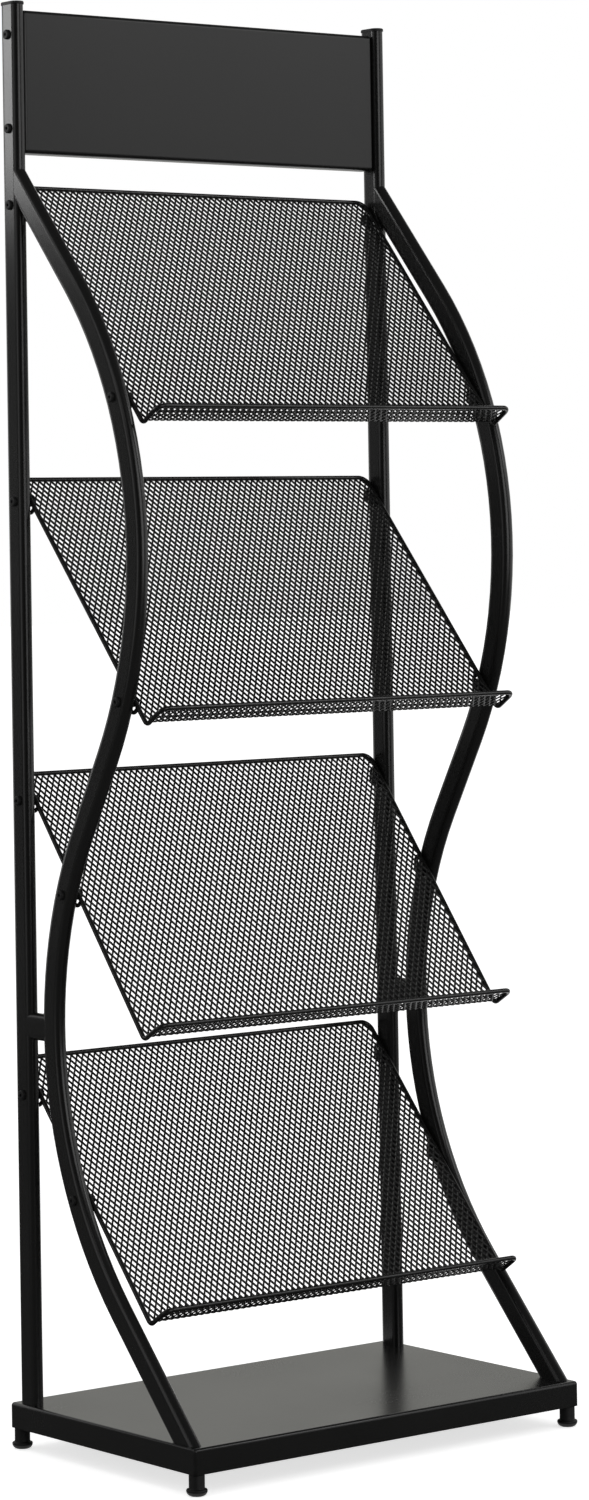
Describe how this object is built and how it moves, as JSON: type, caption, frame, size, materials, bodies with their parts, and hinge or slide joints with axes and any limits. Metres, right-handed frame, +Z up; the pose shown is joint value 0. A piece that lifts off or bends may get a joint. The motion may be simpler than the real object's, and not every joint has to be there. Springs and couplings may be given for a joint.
{
  "type": "floor magazine rack",
  "caption": "Tall black steel magazine rack: sloping expanded-metal shelves with lips between bent tube sides, sign panel on top, folded base on levelling feet.",
  "frame": {"origin": "on the floor under the centre of the base", "axes": "+X to the right as seen from the front, -Y out of the front, +Z up"},
  "size_m": [0.476, 0.294, 1.39],
  "materials": {
    "powder_coat": "satin black powder coat",
    "panel_coat": "satin black powder coat on flat sheet",
    "expanded_metal": "satin black powder coat on expanded metal",
    "black_plastic": "moulded black plastic",
    "black_screw": "black finished screw heads",
    "zinc_steel": "bright zinc plated steel"
  },
  "bodies": {
    "rack": {"base_bolts": "zinc_steel", "base_tray": "powder_coat", "base_washers": "zinc_steel", "corner_gussets": "powder_coat", "foot_nuts": "zinc_steel", "front_tube_plugs": "zinc_steel", "header_nuts": "zinc_steel", "header_panel": "panel_coat", "header_screws": "black_screw", "left_front_tube": "powder_coat", "left_post": "powder_coat", "left_post_cap": "black_plastic", "left_spacer": "powder_coat", "post_plugs": "zinc_steel", "right_front_tube": "powder_coat", "right_post": "powder_coat", "right_post_cap": "black_plastic", "right_spacer": "powder_coat", "shelf_1_frame": "powder_coat", "shelf_1_lip_mesh": "expanded_metal", "shelf_1_loops": "powder_coat", "shelf_1_mesh": "expanded_metal", "shelf_1_nuts": "zinc_steel", "shelf_1_screws": "black_screw", "shelf_2_frame": "powder_coat", "shelf_2_lip_mesh": "expanded_metal", "shelf_2_loops": "powder_coat", "shelf_2_mesh": "expanded_metal", "shelf_2_nuts": "zinc_steel", "shelf_2_screws": "black_screw", "shelf_3_frame": "powder_coat", "shelf_3_lip_mesh": "expanded_metal", "shelf_3_loops": "powder_coat", "shelf_3_mesh": "expanded_metal", "shelf_3_nuts": "zinc_steel", "shelf_3_screws": "black_screw", "shelf_4_frame": "powder_coat", "shelf_4_lip_mesh": "expanded_metal", "shelf_4_loops": "powder_coat", "shelf_4_mesh": "expanded_metal", "shelf_4_nuts": "zinc_steel", "shelf_4_screws": "black_screw"},
    "front_left_foot": {"foot_pad_front_left": "black_plastic", "foot_stem_front_left": "zinc_steel"},
    "front_right_foot": {"foot_pad_front_right": "black_plastic", "foot_stem_front_right": "zinc_steel"},
    "rear_left_foot": {"foot_pad_rear_left": "black_plastic", "foot_stem_rear_left": "zinc_steel"},
    "rear_right_foot": {"foot_pad_rear_right": "black_plastic", "foot_stem_rear_right": "zinc_steel"}
  },
  "joints": [
    {"name": "front_left_level", "type": "slide", "parent": "rack", "child": "front_left_foot", "axis": [0, 0, -1], "range_m": [0, 0.012]},
    {"name": "front_right_level", "type": "slide", "parent": "rack", "child": "front_right_foot", "axis": [0, 0, -1], "range_m": [0, 0.012]},
    {"name": "rear_left_level", "type": "slide", "parent": "rack", "child": "rear_left_foot", "axis": [0, 0, -1], "range_m": [0, 0.012]},
    {"name": "rear_right_level", "type": "slide", "parent": "rack", "child": "rear_right_foot", "axis": [0, 0, -1], "range_m": [0, 0.012]}
  ]
}
